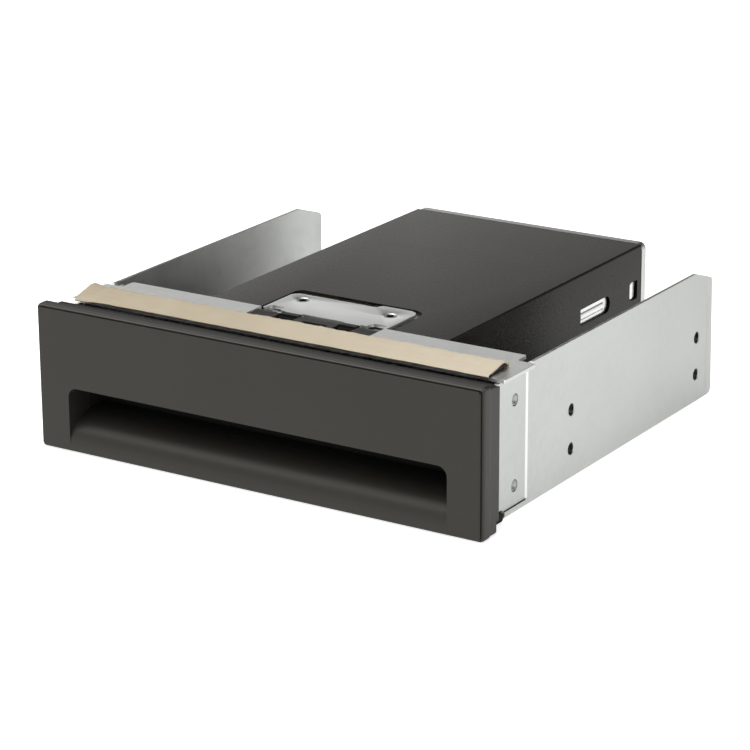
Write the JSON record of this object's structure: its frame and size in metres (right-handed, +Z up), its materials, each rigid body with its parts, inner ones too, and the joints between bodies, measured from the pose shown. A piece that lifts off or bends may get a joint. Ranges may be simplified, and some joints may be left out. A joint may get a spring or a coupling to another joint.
{
  "type": "drive bay carrier",
  "caption": "Half-height drive-bay tray with a moulded front bezel, shielding gasket and a drive enclosure that tilts up on a front hinge and holds a pull-out drive sled.",
  "frame": {"origin": "middle of the overall width and depth, at the bezel's lower edge", "axes": "+X to the right seen from the front, +Y from the bezel to the rear, +Z up"},
  "size_m": [0.1522, 0.1602, 0.045],
  "materials": {
    "galvanised": "galvanised sheet",
    "bright_steel": "bright plated sheet",
    "black_plastic": "fine spark texture",
    "black_paint": "satin powder coat",
    "gasket_cloth": "woven",
    "foam": "open cell foam",
    "rubber": "matte",
    "zinc": "zinc plated",
    "cast_aluminium": "as cast",
    "lid_steel": "brushed",
    "circuit_board": "solder mask",
    "connector_plastic": "moulded",
    "nylon": "moulded"
  },
  "bodies": {
    "chassis": {"chassis_tray": "galvanised", "front_frame": "galvanised", "frame_rivet_right_lower": "zinc", "frame_rivet_right_upper": "zinc", "frame_rivet_left_lower": "zinc", "frame_rivet_left_upper": "zinc", "front_bezel": "black_plastic", "hinge_block": "black_plastic", "bezel_screw_right": "zinc", "bezel_screw_left": "zinc", "emi_gasket_fabric": "gasket_cloth", "emi_gasket_core": "foam", "hinge_pin": "bright_steel", "rest_bumper_right_front": "rubber", "rest_bumper_right_rear": "rubber", "rest_bumper_left_front": "rubber", "rest_bumper_left_rear": "rubber"},
    "carrier": {"carrier_shell": "bright_steel", "hinge_leaf": "bright_steel", "carrier_cover": "black_paint", "leaf_screw_right": "zinc", "leaf_screw_left": "zinc", "cover_screw_right_front": "zinc", "cover_screw_right_rear": "zinc", "cover_screw_left_front": "zinc", "cover_screw_left_rear": "zinc", "board_screw_right": "zinc", "board_screw_left": "zinc", "backplane_board": "circuit_board", "backplane_socket_lower": "connector_plastic", "backplane_socket_upper": "connector_plastic", "guide_rail_right": "nylon", "guide_rail_left": "nylon"},
    "sled": {"drive_sled": "galvanised", "drive_pcb_lower": "circuit_board", "drive_pcb_upper": "circuit_board", "drive_plug_lower": "connector_plastic", "drive_plug_upper": "connector_plastic", "sled_handle": "nylon", "drive_base_lower": "cast_aluminium", "drive_base_upper": "cast_aluminium", "drive_lid_lower": "lid_steel", "drive_lid_upper": "lid_steel", "drive_screw_lower_right_front": "zinc", "drive_screw_lower_right_rear": "zinc", "drive_screw_lower_left_front": "zinc", "drive_screw_lower_left_rear": "zinc", "drive_screw_upper_right_front": "zinc", "drive_screw_upper_right_rear": "zinc", "drive_screw_upper_left_front": "zinc", "drive_screw_upper_left_rear": "zinc"}
  },
  "joints": [
    {"name": "carrier_tilt", "type": "hinge", "parent": "chassis", "child": "carrier", "pos_m": [0, -0.0446, 0.04], "axis": [1, 0, 0], "range_deg": [0, 80]},
    {"name": "drive_slide", "type": "slide", "parent": "carrier", "child": "sled", "axis": [0, 1, 0], "range_m": [0, 0.105]}
  ]
}
